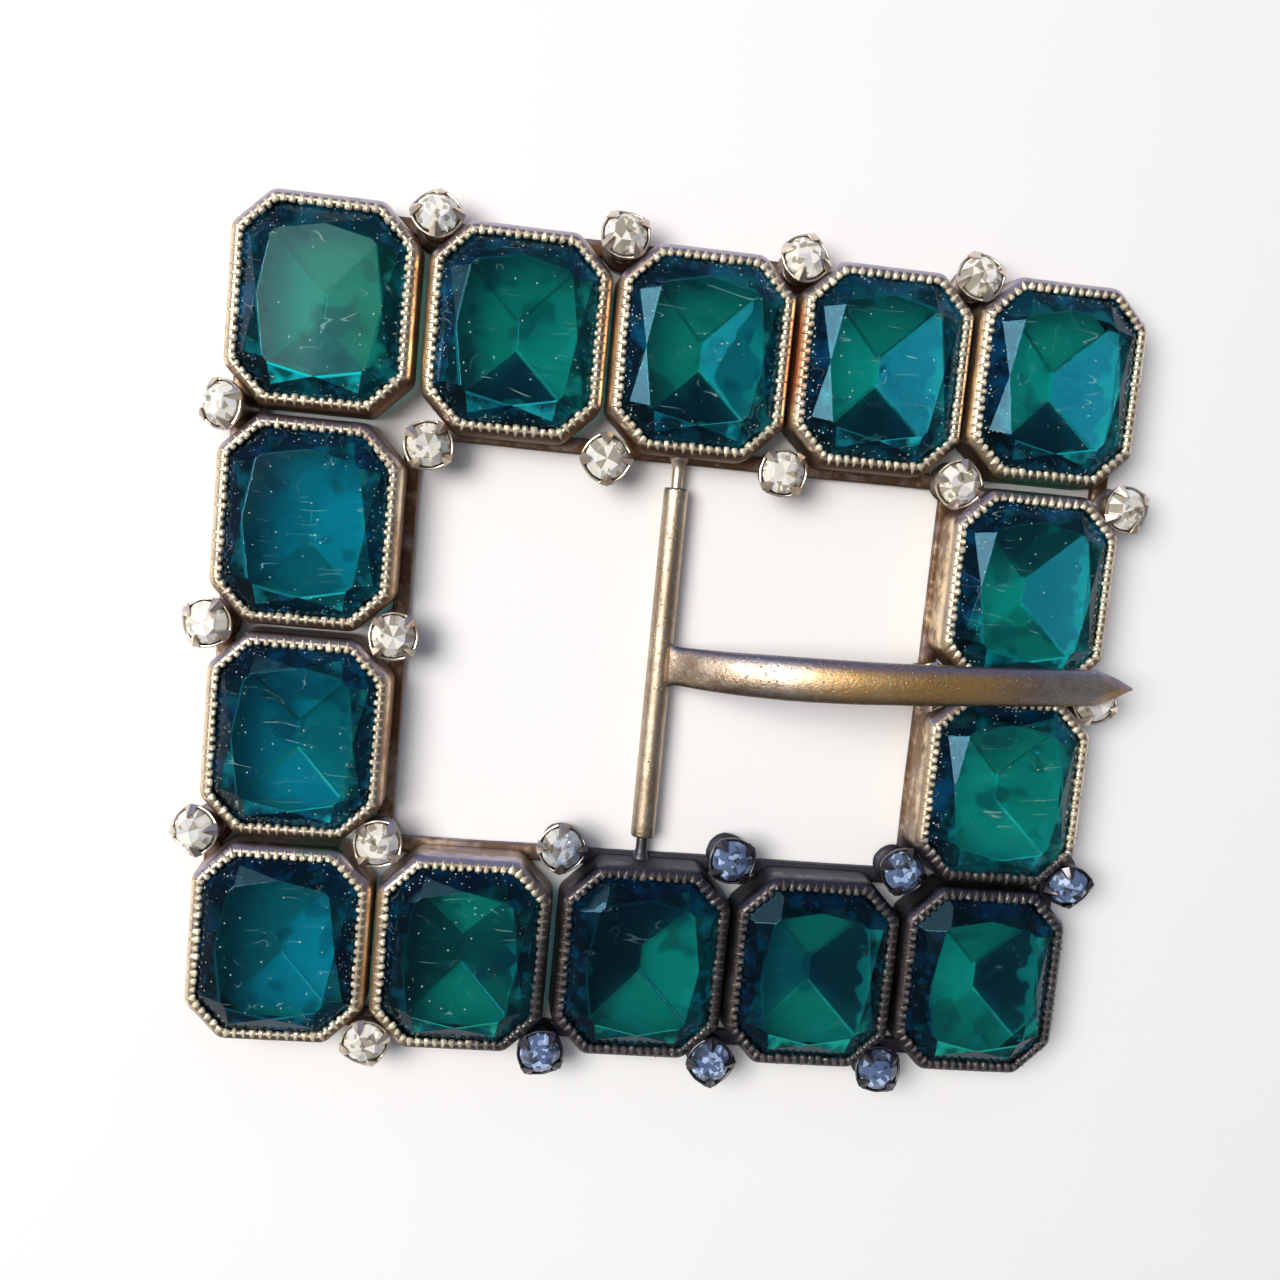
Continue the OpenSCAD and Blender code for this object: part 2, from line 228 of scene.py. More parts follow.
def plated_finish(name, clean, tarnish, brown_level, shine, relief_depth=0.02, painted_side_strength=1.0):
    """Silver-plated brass that has worn and tarnished, browner low down, with stained spots, and with
    painted shade and sky reflection by the way each side faces and in the lower right corner.

    The brown level is the height in millimetres below which the metal is mostly brown.
    """
    material, tree, shader, output, here = new_material(name)
    height = split(here)["Z"]
    broad = grain(here, 5.5, 3.0, 0.6)
    small = grain(here, 0.9, 4.0, 0.65)
    tiny = grain(here, 0.16, 2.0, 0.6)
    low = fade(height, (brown_level + 1.4) * mm, (brown_level - 1.0) * mm)
    # Walls facing the lower side get painted brown shade and more roughness, and those facing right a
    # painted coppery shade
    facing = tree.nodes.new("ShaderNodeNewGeometry").outputs["Normal"]
    south_shade = fade(towards(facing, (0.25, -1.0, 0.0)), 0.15, 0.60)
    low = times_plus(south_shade, 0.75 * painted_side_strength, low)
    patches = times_plus(low, 0.42, calculate("ADD", times(broad, 0.9), times(small, 0.8)))
    dirt_and_shade = fade(patches, 0.86, 1.30)
    film = fade(grain(here, 2.4, 2.0), 0.50, 0.68)
    colour = blend(dirt_and_shade, clean, tarnish)
    colour = tint(colour, film, 0.35, (0.44, 0.38, 0.40))
    colour = tint(colour, south_shade, 0.9 * painted_side_strength, (0.10, 0.055, 0.032))
    east_warm_shade = fade(towards(facing, (1.0, 0.1, 0.0)), 0.15, 0.60)
    east_warm_shade = times(east_warm_shade, fade(broad, 0.36, 0.60))
    colour = tint(colour, east_warm_shade, 0.6 * painted_side_strength, (0.50, 0.27, 0.15))
    # A painted mauve sky reflection on the upper side of each shoulder
    sky_sheen = fade(towards(facing, (-0.1, 1.0, 0.3)), 0.30, 0.80)
    shoulder = times_plus(fade(height, 3.0 * mm, 4.1 * mm), 0.75, 0.25)
    sky_sheen = times(sky_sheen, shoulder)
    colour = tint(colour, sky_sheen, 0.8 * painted_side_strength, (0.37, 0.355, 0.50))
    # Bare copper between two stones of the top row, old flux on the rails and green verdigris:
    # the middle of each stain, how far it reaches each way, its colour and its strength
    stains = [
        ((9.0, 29.0, 4.4), (1.5, 6.5, 3.0), (0.62, 0.27, 0.13), 0.85),
        ((-8.9, 29.5, 4.4), (1.2, 5.0, 2.5), (0.60, 0.33, 0.18), 0.5),
        ((-5.5, 19.7, 1.5), (4.5, 2.0, 2.5), (0.33, 0.16, 0.08), 0.8),
        ((33.5, 19.6, 3.2), (7.5, 1.6, 3.6), (0.10, 0.34, 0.22), 0.8),
        ((-30.5, -19.6, 3.6), (5.0, 1.5, 3.0), (0.12, 0.33, 0.22), 0.6),
        ((26.0, -22.0, 2.0), (3.0, 2.5, 2.5), (0.12, 0.30, 0.22), 0.5),
    ]
    for middle, reach, stain, strength in stains:
        offset = vector_step("SUBTRACT", {0: here, 1: Vector(middle) * mm})
        offset = vector_step("DIVIDE", {0: offset, 1: Vector(reach) * mm})
        away = vector_step("LENGTH", {0: offset}, "Value")
        away = times_plus(small, 1.2, away)
        colour = tint(colour, fade(away, 1.5, 0.9), strength, stain)
    # Painted shadow: near-black metal in the lower right corner of the buckle
    corner_shadow = times(painted_shade_corner(here), fade(small, 0.12, 0.42))
    colour = tint(colour, corner_shadow, 0.93, (0.06, 0.062, 0.08))
    rough = times_plus(dirt_and_shade, 0.22, shine)
    rough = times_plus(tiny, 0.12, rough)
    fill(shader, {"Base Color": colour, "Metallic": 1.0, "Roughness": rough})
    emboss(shader, 0.5, relief_depth, times_plus(small, 1.6, tiny))
    return material


def close_shape(shape, mesh):
    """Turns every face of the finished shape outwards and writes it into the mesh."""
    bmesh.ops.recalc_face_normals(shape, faces=shape.faces)
    shape.to_mesh(mesh)
    shape.free()
    return mesh


def skin_rings(name, rings, joined):
    """A closed skin over rings of points in millimetres. Joined rings go round to the first
    again, and others get a flat cap at each end."""
    count = len(rings[0])
    points = [Vector(point) * mm for ring in rings for point in ring]
    faces = []
    for i in range(len(rings) if joined else len(rings) - 1):
        j = (i + 1) % len(rings)
        for k in range(count):
            n = (k + 1) % count
            faces.append((i * count + k, i * count + n, j * count + n, j * count + k))
    if not joined:
        faces.append(tuple(range(count)))
        faces.append(tuple(range((len(rings) - 1) * count, len(rings) * count)))
    mesh = bpy.data.meshes.new(name)
    mesh.from_pydata(points, [], faces)
    shape = bmesh.new()
    shape.from_mesh(mesh)
    return close_shape(shape, mesh)


def stand(name, mesh, body, materials, nodes):
    """Puts a finished mesh in the scene as a piece of the buckle."""
    piece = put(name, mesh)
    if materials:
        mesh.materials.clear()
        for material in materials:
            mesh.materials.append(material)
    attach(piece, body)
    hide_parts(*nodes)
    return piece


def soft_shade(mesh, crease):
    """Shades the mesh smoothly, apart from edges that turn by more than the crease, in degrees."""
    mesh.shade_smooth()
    mesh.set_sharp_from_angle(angle=math.radians(crease))


def octagon(wide, high, cut, inset, middle=(0.0, 0.0)):
    """The corners of a rectangle with its corners cut, counter-clockwise, set in by the inset."""
    x = (wide - 2 * inset) / 2
    y = (high - 2 * inset) / 2
    cut = max(cut - inset * (2 - math.sqrt(2)), 0.3)
    corners = [(x, y - cut), (x - cut, y), (cut - x, y), (-x, y - cut),
               (-x, cut - y), (cut - x, -y), (x - cut, -y), (x, cut - y)]
    return [Vector((a + middle[0], b + middle[1])) for a, b in corners]


def round_corners(corners, radius, steps, side_steps, cut_steps):
    """The outline with each corner rounded, and its sides and cuts in this many steps."""
    outline = []
    reach = radius * math.tan(math.radians(22.5))
    for i, corner in enumerate(corners):
        before = corners[i - 1] - corner
        after = corners[(i + 1) % len(corners)] - corner
        start = corner + before.normalized() * reach
        end = corner + after.normalized() * reach
        for k in range(steps + 1):
            t = k / steps
            outline.append(start * (1 - t) ** 2 + corner * 2 * t * (1 - t) + end * t * t)
        following = corner + after - after.normalized() * reach
        gaps = cut_steps if i % 2 == 0 else side_steps
        for k in range(1, gaps):
            outline.append(end.lerp(following, k / gaps))
    return outline


def bend_rail(name, wide, high, cut, middle):
    """A rail's mesh: its section, with softened edges, carried round the outline."""
    section = [(0.0, 0.12), (0.04, 0.04), (0.12, 0.0), (1.38, 0.0), (1.46, 0.04), (1.5, 0.12),
               (1.5, 0.78), (1.46, 0.86), (1.38, 0.9), (0.12, 0.9), (0.04, 0.86), (0.0, 0.78)]
    half_thick = 0.45
    rings = []
    for inset, level in section:
        outline = round_corners(octagon(wide, high, cut, inset, middle), 0.1, 2, 40, 2)
        ring = []
        for point in outline:
            wave = noise.noise(Vector((point.x, point.y, 0.0)) * 0.12)
            wave_fine = noise.noise(Vector((point.x, point.y, 4.0)) * 0.6)
            shift = 0.07 * wave
            height = level + 0.05 * wave + 0.02 * wave_fine if level > half_thick else level
            ring.append((point.x + shift, point.y - shift, height))
        rings.append(ring)
    mesh = skin_rings(name, rings, True)
    soft_shade(mesh, 45)
    return mesh


rail_finish = plated_finish("rail_finish", (0.56, 0.42, 0.30, 1), (0.14, 0.08, 0.045, 1), 2.4, 0.30)
# Each rail's outer width and height, the cut at its corners, and its middle
rails = {
    "outer_rail": (83.2, 76.0, 3.9, (0.0, 0.0)),
    "inner_rail": (52.5, 40.5, 0.8, (0.3, -0.3)),
}
for name, (wide, high, cut, middle) in rails.items():
    rail_mesh = bend_rail(name, wide, high, cut, middle)
    stand(name, rail_mesh, "buckle_frame", [rail_finish], ["frame"])


# The settings: walls of thin plated brass bent round each large stone and soldered on the
# rails, with a ledge inside that carries the stone and a shoulder rolled over its girdle.
setting_wide = 16.5
setting_high = 18.9
setting_cut = 3.4
setting_radius = 1.6
seat_count = 14
# Going round the wall from its outer foot: how far in, the level, and how deep in the
# groove that the milgrain tool leaves
wall_section = [
    (0.00, 0.70, 0.0), (0.02, 1.60, 0.0), (0.05, 2.70, 0.0), (0.07, 3.50, 0.0),
    (0.09, 3.95, 0.0), (0.14, 4.18, 0.0), (0.23, 4.36, 0.0), (0.36, 4.52, 0.0),
    (0.49, 4.66, 0.1), (0.60, 4.76, 0.5), (0.68, 4.80, 1.0), (0.80, 4.85, 1.0),
    (0.98, 4.83, 1.0), (1.10, 4.76, 1.0), (1.17, 4.68, 0.7), (1.15, 4.61, 0.4),
    (0.66, 4.24, 0.3), (0.65, 3.26, 0.3), (1.12, 3.07, 0.3), (1.15, 3.00, 0.3),
    (1.14, 2.78, 0.3), (0.44, 2.22, 0.2), (0.42, 1.60, 0.2), (0.40, 0.70, 0.2),
]


def make_tree(name, inputs):
    """A geometry tree with named inputs besides its geometry. It returns the tree and the
    sockets by name."""
    tree = bpy.data.node_groups.new(name, "GeometryNodeTree")
    tree.interface.new_socket("Geometry", in_out="INPUT", socket_type="NodeSocketGeometry")
    for label, kind in inputs:
        tree.interface.new_socket(label, in_out="INPUT", socket_type="NodeSocket" + kind)
    tree.interface.new_socket("Geometry", in_out="OUTPUT", socket_type="NodeSocketGeometry")
    given = tree.nodes.new("NodeGroupInput")
    return tree, given.outputs


def close_tree(tree, geometry, finish):
    """Ends a tree: real geometry, its material and the output."""
    real = step("GeometryNodeRealizeInstances", {0: geometry})
    coated = step("GeometryNodeSetMaterial", {"Geometry": real, "Material": finish})
    add_node(tree, "NodeGroupOutput", {0: coated})


def run_tree(name, mesh, tree, values):
    """Runs a tree on a mesh and returns the result as a plain mesh."""
    holder = put(name + "_holder", mesh)
    modifier = holder.modifiers.new("made", "NODES")
    modifier.node_group = tree
    for item in tree.interface.items_tree:
        if item.in_out == "INPUT" and item.name in values:
            modifier[item.identifier] = values[item.name]
    graph = bpy.context.evaluated_depsgraph_get()
    made = bpy.data.meshes.new_from_object(holder.evaluated_get(graph), depsgraph=graph)
    made.name = name
    holder.modifiers.clear()
    bpy.data.objects.remove(holder)
    return made


def add_dents(geometry, given):
    """Makes the copies real and dents them a little, as far as the tree's inputs say."""
    real = step("GeometryNodeRealizeInstances", {0: geometry})
    scale = calculate("DIVIDE", 1.0, given["Dent width"])
    dent = step("ShaderNodeTexNoise", {"Scale": scale, "Detail": 2.0}, "Color")
    dent = vector_step("SUBTRACT", {0: dent, 1: (0.5, 0.5, 0.5)})
    dent = vector_step("SCALE", {0: dent, "Scale": given["Dent depth"]})
    return step("GeometryNodeSetPosition", {"Geometry": real, "Offset": dent})


# Puts a copy of one shape on each point, turned as the point says
seat_tree, given = make_tree("set_in_place", [
    ("Shape", "Object"), ("Dent depth", "Float"), ("Dent width", "Float"), ("Finish", "Material")])
shape = step("GeometryNodeObjectInfo", {"Object": given["Shape"]}, "Geometry")
turn = add_node(seat_tree, "GeometryNodeInputNamedAttribute", {"Name": "turn"},
                data_type="FLOAT_VECTOR").outputs[0]
turn = step("FunctionNodeEulerToRotation", {0: turn})
placed = step("GeometryNodeInstanceOnPoints",
              {"Points": given["Geometry"], "Instance": shape, "Rotation": turn})
close_tree(seat_tree, add_dents(placed, given), given["Finish"])


def mark_places(name, places):
    """A mesh of loose points, each with the turn that its copy gets."""
    mesh = bpy.data.meshes.new(name)
    mesh.from_pydata([place for place, turn in places], [], [])
    turns = mesh.attributes.new("turn", "FLOAT_VECTOR", "POINT")
    for i, (place, turn) in enumerate(places):
        turns.data[i].vector = turn
    return mesh


def stamp(name, shape_mesh, places, dent_depth, dent_width, finish, crease):
    """One piece of the frame: a copy of a shape in each place, all dented a little."""
    shape = put(name + "_shape", shape_mesh)
    mesh = run_tree(name, mark_places(name + "_places", places), seat_tree, {
        "Shape": shape, "Dent depth": dent_depth * mm, "Dent width": dent_width * mm, "Finish": finish})
    soft_shade(mesh, crease)
    stand(name, mesh, "buckle_frame", [], ["frame"])
    bpy.data.objects.remove(shape)


def painted(tree, name):
    """What a mesh's own attribute says at each place."""
    return add_node(tree, "ShaderNodeAttribute", {}, attribute_name=name).outputs


def rub_in(material, mark, strength, tone):
    """Lays dirt over a finished material where the mesh's own mark says."""
    shader = material.node_tree.nodes["Principled BSDF"]
    finished = shader.inputs["Base Color"].links[0].from_socket
    dirty = painted(material.node_tree, mark)["Fac"]
    fill(shader, {"Base Color": tint(finished, dirty, strength, tone)})


def setting_outline(inset):
    """The outline of a setting's wall, this far in from the outline at its foot."""
    corners = octagon(setting_wide, setting_high, setting_cut, inset)
    return round_corners(corners, max(setting_radius - inset, 0.5), 5, 9, 2)


chance = random.Random(14)
seats = []
for number in range(1, seat_count + 1):
    low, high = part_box(f"stone_{number}")
    middle = (low + high) / 2
    seats.append(Vector((middle.x, middle.y, 0.0)))

wall_rings = []
grooves = []
for inset, level, groove in wall_section:
    outline = setting_outline(inset)
    wall_rings.append([(point.x, point.y, level) for point in outline])
    grooves += [groove] * len(outline)
wall_mesh = skin_rings("wall", wall_rings, True)
wall_mesh.attributes.new("groove", "FLOAT", "POINT").data.foreach_set("value", grooves)

setting_finish = plated_finish(
    "setting_finish", (0.94, 0.77, 0.53, 1), (0.30, 0.19, 0.11, 1), 3.6, 0.27)
rub_in(setting_finish, "groove", 0.45, (0.10, 0.07, 0.05))
wall_places = [(seat, (0.0, 0.0, 0.0)) for seat in seats]
stamp("settings", wall_mesh, wall_places, 0.07, 3.0, setting_finish, 50)


# The milgrain: a row of small ridged beads rolled along the rim of each setting with a
# knurled wheel. The tops are rubbed bright, and dirt lies between them.
bead_pitch = 0.80
milgrain_tree, given = make_tree("milgrain", [
    ("Bead", "Object"), ("Pitch", "Float"), ("Dent depth", "Float"), ("Dent width", "Float"),
    ("Finish", "Material")])
path = step("GeometryNodeMeshToCurve", {"Mesh": given["Geometry"]})
path = step("GeometryNodeResampleCurve", {"Curve": path, "Length": given["Pitch"]}, mode="LENGTH")
bead = step("GeometryNodeObjectInfo", {"Object": given["Bead"]}, "Geometry")
along = milgrain_tree.nodes.new("GeometryNodeInputTangent").outputs[0]
turn = step("FunctionNodeAlignRotationToVector", {"Vector": along}, axis="Y", pivot_axis="Z")
uneven = add_node(milgrain_tree, "FunctionNodeRandomValue",
                  {"Min": (0.78, 0.74, 0.60), "Max": (1.10, 1.15, 1.20), "Seed": 5},
                  data_type="FLOAT_VECTOR").outputs[0]
askew = add_node(milgrain_tree, "FunctionNodeRandomValue",
                 {"Min": (-0.10, -0.10, -0.16), "Max": (0.10, 0.10, 0.16), "Seed": 9},
                 data_type="FLOAT_VECTOR").outputs[0]
askew = step("FunctionNodeEulerToRotation", {0: askew})
turn = step("FunctionNodeRotateRotation", {"Rotation": turn, "Rotate By": askew},
            rotation_space="LOCAL")
beads = step("GeometryNodeInstanceOnPoints",
             {"Points": path, "Instance": bead, "Rotation": turn, "Scale": uneven})
close_tree(milgrain_tree, add_dents(beads, given), given["Finish"])

bead_inset = 0.86
bead_level = 4.83
points = []
edges = []
outline = setting_outline(bead_inset)
for seat in seats:
    start = len(points)
    for k, point in enumerate(outline):
        points.append(seat + Vector((point.x, point.y, bead_level)) * mm)
        edges.append((start + k, start + (k + 1) % len(outline)))
path_mesh = bpy.data.meshes.new("milgrain_path")
path_mesh.from_pydata(points, edges, [])
milgrain_finish = plated_finish(
    "milgrain_finish", (1.0, 0.91, 0.66, 1), (0.76, 0.52, 0.31, 1), 2.2, 0.28, 0.09, 0.12)
fill(milgrain_finish.node_tree.nodes["Principled BSDF"], {"Metallic": 0.6})
rub_in(milgrain_finish, "foot", 0.85, (0.13, 0.075, 0.045))

# A bead in section, from its end on the stone outwards to a point on the shoulder: place,
# half its width, the level of its ridge and of its base
bead_section = [(-0.50, 0.20, -0.02, -0.16), (-0.43, 0.30, 0.14, -0.16), (-0.29, 0.345, 0.22, -0.15),
                (-0.08, 0.32, 0.20, -0.13), (0.14, 0.24, 0.12, -0.14), (0.34, 0.14, 0.00, -0.20),
                (0.52, 0.02, -0.15, -0.28)]
bead_rings = []
for place, half_width, ridge, base in bead_section:
    rise = ridge - base
    side = [(half_width, base), (half_width * 0.74, base + rise * 0.60), (half_width * 0.26, ridge)]
    bead_rings.append([(place, across, level) for across, level in side]
                      + [(place, -across, level) for across, level in reversed(side)])
bead_mesh = skin_rings("bead", bead_rings, False)
foot_mark = bead_mesh.attributes.new("foot", "FLOAT", "POINT")
for i in range(len(bead_mesh.vertices)):
    row, k = divmod(i, len(bead_rings[0]))
    foot_mark.data[i].value = max(1.0 if k in (0, 5) else 0.0, 0.30 * max(row - 3, 0))
bead_shape = put("bead_shape", bead_mesh)
milgrain_mesh = run_tree("milgrain", path_mesh, milgrain_tree, {
    "Bead": bead_shape, "Pitch": bead_pitch * mm, "Dent depth": 0.13 * mm, "Dent width": 0.35 * mm,
    "Finish": milgrain_finish})
bpy.data.objects.remove(bead_shape)
stand("milgrain", milgrain_mesh, "buckle_frame", [], ["frame"])


# The cups: stamped cones of thin metal between the settings, each with four pleated claws
# folded over a rhinestone, and a collar of soft solder that holds its foot on the rail.
cup_count = 24
cup_depth = 3.2
tip_depth = 1.95
turn_step = 37
cup_places = []
for number in range(1, cup_count + 1):
    corners = [vertex.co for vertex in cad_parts[f"rhinestone_{number}"].data.vertices]
    tip = min(corners, key=lambda point: point.z)
    top = max(corners, key=lambda point: point.z)
    table_distance = (top - tip).length
    table = [point for point in corners if abs((point - tip).length - table_distance) < 0.02 * mm]
    axis = (sum(table, Vector()) / len(table) - tip).normalized()
    rim = tip + axis * tip_depth * mm
    lean = Vector((0, 0, 1)).rotation_difference(axis).to_matrix()
    turned = lean @ Matrix.Rotation(math.radians(turn_step * (number - 1) % 90), 3, "Z")
    cup_places.append((rim, turned.to_euler()))

cup_section = [
    (1.30, -3.55), (1.30, -2.65), (1.45, -2.35), (1.80, -1.50), (2.12, -0.75), (2.20, -0.55),
    (2.24, -0.12), (2.22, -0.03), (2.13, 0.0), (2.05, -0.03), (2.02, -0.12), (2.0, -0.62),
    (1.55, -1.50), (1.0, -2.24), (0.45, -2.27), (0.0001, -2.27),
]


def turn_section(section, sides):
    """Rings of points for a section of radius and level, turned round the upright axis."""
    return [[(radius * math.cos(2 * math.pi * k / sides),
              radius * math.sin(2 * math.pi * k / sides), level) for k in range(sides)]
            for radius, level in section]


def add_claw(shape, angle):
    """One claw, as a closed pleat: across it, a crease stands up along the middle."""
    length = 1.36
    thick = 0.12
    root_radius = 2.20
    root_level = -0.20
    steps = 6
    slope = math.radians(47)
    spin = Matrix.Rotation(angle, 3, "Z")
    out = Vector((math.sin(slope), 0, math.cos(slope)))
    side = Vector((0, 1, 0))
    rows = []
    for i in range(steps + 1):
        t = i / steps
        half_width = 0.62 * (1 - t) ** 0.8 + 0.03
        crest = 0.26 * (1 - 0.55 * t)
        along = Vector((root_radius - math.cos(slope) * length * t, 0,
                        root_level + math.sin(slope) * length * t))
        row = []
        for offset, lift in ((-1.0, 0.0), (-0.5, 0.40), (0.0, 1.0), (0.5, 0.40), (1.0, 0.0)):
            row.append(along + side * half_width * offset + out * (crest * lift + thick))
        for offset, lift in ((1.0, 0.0), (0.5, 0.30), (0.0, 0.70), (-0.5, 0.30), (-1.0, 0.0)):
            row.append(along + side * half_width * offset + out * crest * lift)
        rows.append([shape.verts.new((spin @ point) * mm) for point in row])
    count = len(rows[0])
    for i in range(steps):
        for k in range(count):
            n = (k + 1) % count
            shape.faces.new((rows[i][k], rows[i][n], rows[i + 1][n], rows[i + 1][k]))
    shape.faces.new(rows[0])
    shape.faces.new(rows[-1])


# The edge is drawn out a little at each of the four claws, and dips between them
cup_rings = turn_section(cup_section, 48)
for ring in cup_rings:
    for k, (x, y, level) in enumerate(ring):
        from_claw = abs((k + 6) % 12 - 6) / 6
        high_up = min(1.0, max(0.0, level + 1.3))
        at_edge = min(1.0, max(0.0, (level + 0.4) / 0.3))
        draw_out = 1 + 0.085 * max(0.0, 1 - 1.6 * from_claw) * high_up
        dip = 0.16 * min(1.0, from_claw * 1.5) * at_edge
        ring[k] = (x * draw_out, y * draw_out, level - dip)
cup_mesh = skin_rings("cup", cup_rings, False)
shape = bmesh.new()
shape.from_mesh(cup_mesh)
for k in range(4):
    add_claw(shape, math.radians(90 * k))
close_shape(shape, cup_mesh)
cup_finish = plated_finish(
    "cup_finish", (0.94, 0.83, 0.65, 1), (0.34, 0.23, 0.14, 1), 2.4, 0.24, 0.02, 0.4)
stamp("rhinestone_cups", cup_mesh, cup_places, 0.05, 1.3, cup_finish, 38)

collar_section = [(1.95, 0.72), (1.90, 0.95), (1.62, 1.12), (1.40, 1.40), (1.28, 1.62),
                  (0.6, 1.62), (0.0001, 1.62)]
collar_mesh = skin_rings("collar", turn_section(collar_section, 28), False)
collar_places = []
for rim, turn in cup_places:
    foot = rim - turn.to_matrix() @ Vector((0, 0, cup_depth)) * mm
    collar_places.append((Vector((foot.x, foot.y, 0.0)), (0.0, 0.0, chance.uniform(0, 6.28))))
solder_finish = plated_finish(
    "solder_finish", (0.52, 0.49, 0.45, 1), (0.22, 0.17, 0.13, 1), 1.2, 0.34)
stamp("solder_collars", collar_mesh, collar_places, 0.35, 1.2, solder_finish, 60)


# The bar: a straight length of hard wire laid across the middle of the inner rail, with a
# cone of solder over each end. The tongue turns on it.
bar_x = -0.6
bar_level = 1.35
bar_low = -19.75
bar_high = 19.15
bar_section = [(0.98, 0.0), (1.0, 0.12), (0.86, 0.45), (0.66, 0.85), (0.55, 1.15), (0.54, 1.6)]
bar_length = bar_high - bar_low
solder_reach = 1.1
solder_base = 0.3
bar_profile = bar_section + [(0.54, bar_length / 2)]
bar_profile += [(radius, bar_length - along) for radius, along in reversed(bar_section)]
bar_rings = []
for radius, along in bar_profile:
    end_distance = min(along, bar_length - along)
    ring = []
    for k in range(24):
        angle = 2 * math.pi * k / 24
        lump = 1.0
        if end_distance < solder_reach:
            lump += 0.16 * noise.noise(Vector((math.cos(angle), math.sin(angle), along * 0.9)))
        ring.append((bar_x + radius * lump * math.cos(angle), bar_low + along,
                     max(bar_level + radius * lump * math.sin(angle), solder_base)))
    bar_rings.append(ring)
bar_mesh = skin_rings("bar_wire", bar_rings, False)
soft_shade(bar_mesh, 50)
bar_finish = plated_finish("bar_finish", (0.80, 0.70, 0.56, 1), (0.30, 0.21, 0.14, 1), 0.4, 0.32)
stand("bar_wire", bar_mesh, "buckle_frame", [bar_finish], ["frame"])


# The tongue: a tube that turns on the bar, with an arched prong brazed to its middle. Both
# are worn brass, satin and finely pitted, with a golden stain along the prong.
tube_radius = 1.15
bore_radius = 0.62
tube_low = -17.3
tube_high = 16.2
prong_start = -0.5
prong_lean = 0.042
prong_belly = 0.7
point_reach = 41.3
braze_start = 0.9
braze_reach = 0.38
# How far right of the bar, the level of its middle, width and thickness
prong_rows = [
    (0.75, 1.95, 3.50, 1.50), (1.80, 2.65, 3.60, 1.90), (3.60, 4.25, 3.80, 2.20),
    (6.20, 6.05, 3.95, 2.35), (9.60, 7.60, 4.05, 2.40), (13.60, 8.70, 4.05, 2.40),
    (18.20, 9.25, 3.95, 2.40), (23.20, 9.15, 3.80, 2.35), (28.20, 8.60, 3.70, 2.30),
    (33.20, 7.75, 3.65, 2.20), (37.60, 6.80, 3.55, 2.05), (41.20, 6.10, 3.40, 1.90),
]
point_rows = [(43.30, 5.97, 1.85, 1.45), (44.90, 5.80, 0.30, 0.70)]


def follow_rows(rows, steps):
    """Rows on a smooth curve through the given ones, with this many steps between two."""
    made = []
    for i in range(len(rows) - 1):
        before = rows[max(i - 1, 0)]
        after = rows[min(i + 2, len(rows) - 1)]
        for k in range(steps):
            t = k / steps
            row = []
            for a, b, c, d in zip(before, rows[i], rows[i + 1], after):
                row.append(0.5 * (2 * b + (c - a) * t + (2 * a - 5 * b + 4 * c - d) * t * t
                                  + (3 * b - a - 3 * c + d) * t ** 3))
            made.append(tuple(row))
    made.append(rows[-1])
    return made


prong_path = follow_rows(prong_rows, 5)
for start, end in ((prong_rows[-1], point_rows[0]), (point_rows[0], point_rows[1])):
    for k in range(1, 5):
        t = k / 4
        prong_path.append(tuple(a + (b - a) * t for a, b in zip(start, end)))
prong_sides = 32
prong_rings = []
for reach, level, wide, thick in prong_path:
    braze = math.exp(-max(reach - braze_start, 0.0) / braze_reach)
    wide += 0.7 * braze
    thick += 0.12 * braze
    sharp = min(max((reach - point_reach + 0.4) / 1.6, 0.0), 1.0)
    power = 2.0 / (2.0 - 0.95 * sharp)
    ring = []
    for k in range(prong_sides):
        angle = 2 * math.pi * k / prong_sides
        across = math.copysign(abs(math.cos(angle)) ** power, math.cos(angle))
        up = math.copysign(abs(math.sin(angle)) ** power, math.sin(angle))
        if up < 0:
            up *= prong_belly
        wave = noise.noise(Vector((reach * 0.22, across * 0.6, up * 0.6)))
        swell = 1 + 0.012 * wave
        ring.append((bar_x + reach, prong_start + prong_lean * reach + across * wide / 2 * swell,
                     level + up * thick / 2 * swell))
    prong_rings.append(ring)
prong_mesh = skin_rings("prong", prong_rings, False)

tube_section = [(bore_radius, 0.10), (bore_radius + 0.08, 0.02), (0.90, 0.0), (1.05, 0.04),
                (1.12, 0.12), (tube_radius, 0.24)]
tube_length = tube_high - tube_low
tube_profile = tube_section + [(tube_radius, 0.24 + (tube_length - 0.48) * k / 24)
                               for k in range(1, 24)]
tube_profile += [(radius, tube_length - along) for radius, along in reversed(tube_section)]
tube_rings = []
for k in range(48):
    angle = 2 * math.pi * k / 48
    ring = []
    for radius, along in tube_profile:
        wobble = 0.0
        if radius > 1.0:
            wobble = 0.012 * noise.noise(Vector((math.cos(angle), math.sin(angle), along * 0.35)))
        ring.append((bar_x + (radius + wobble) * math.cos(angle), tube_low + along,
                     bar_level + (radius + wobble) * math.sin(angle)))
    tube_rings.append(ring)
tube_mesh = skin_rings("tube", tube_rings, True)


def cells(here, size):
    """Cells this wide, in millimetres: how far off each one's middle is, and its own colour."""
    inputs = {"Vector": here, "Scale": 1 / (size * mm)}
    return add_node(here.id_data, "ShaderNodeTexVoronoi", inputs).outputs


tongue_finish, tree, shader, output, here = new_material("tongue_finish")
broad = grain(here, 7.0, 4.0, 0.6)
small = grain(here, 0.8, 5.0, 0.7)
speckled = grain(here, 0.28, 4.0, 0.7)
stretched = step("ShaderNodeMapping", {"Vector": here, "Scale": (0.12, 1.0, 1.0)})
brushed = grain(stretched, 0.12, 3.0, 0.7)
pits = fade(cells(here, 0.55)["Distance"], 0.20, 0.06)
brown = fade(times_plus(small, 0.55, broad), 0.56, 0.92)
colour = blend(brown, (0.80, 0.69, 0.55, 1), (0.40, 0.28, 0.19, 1))
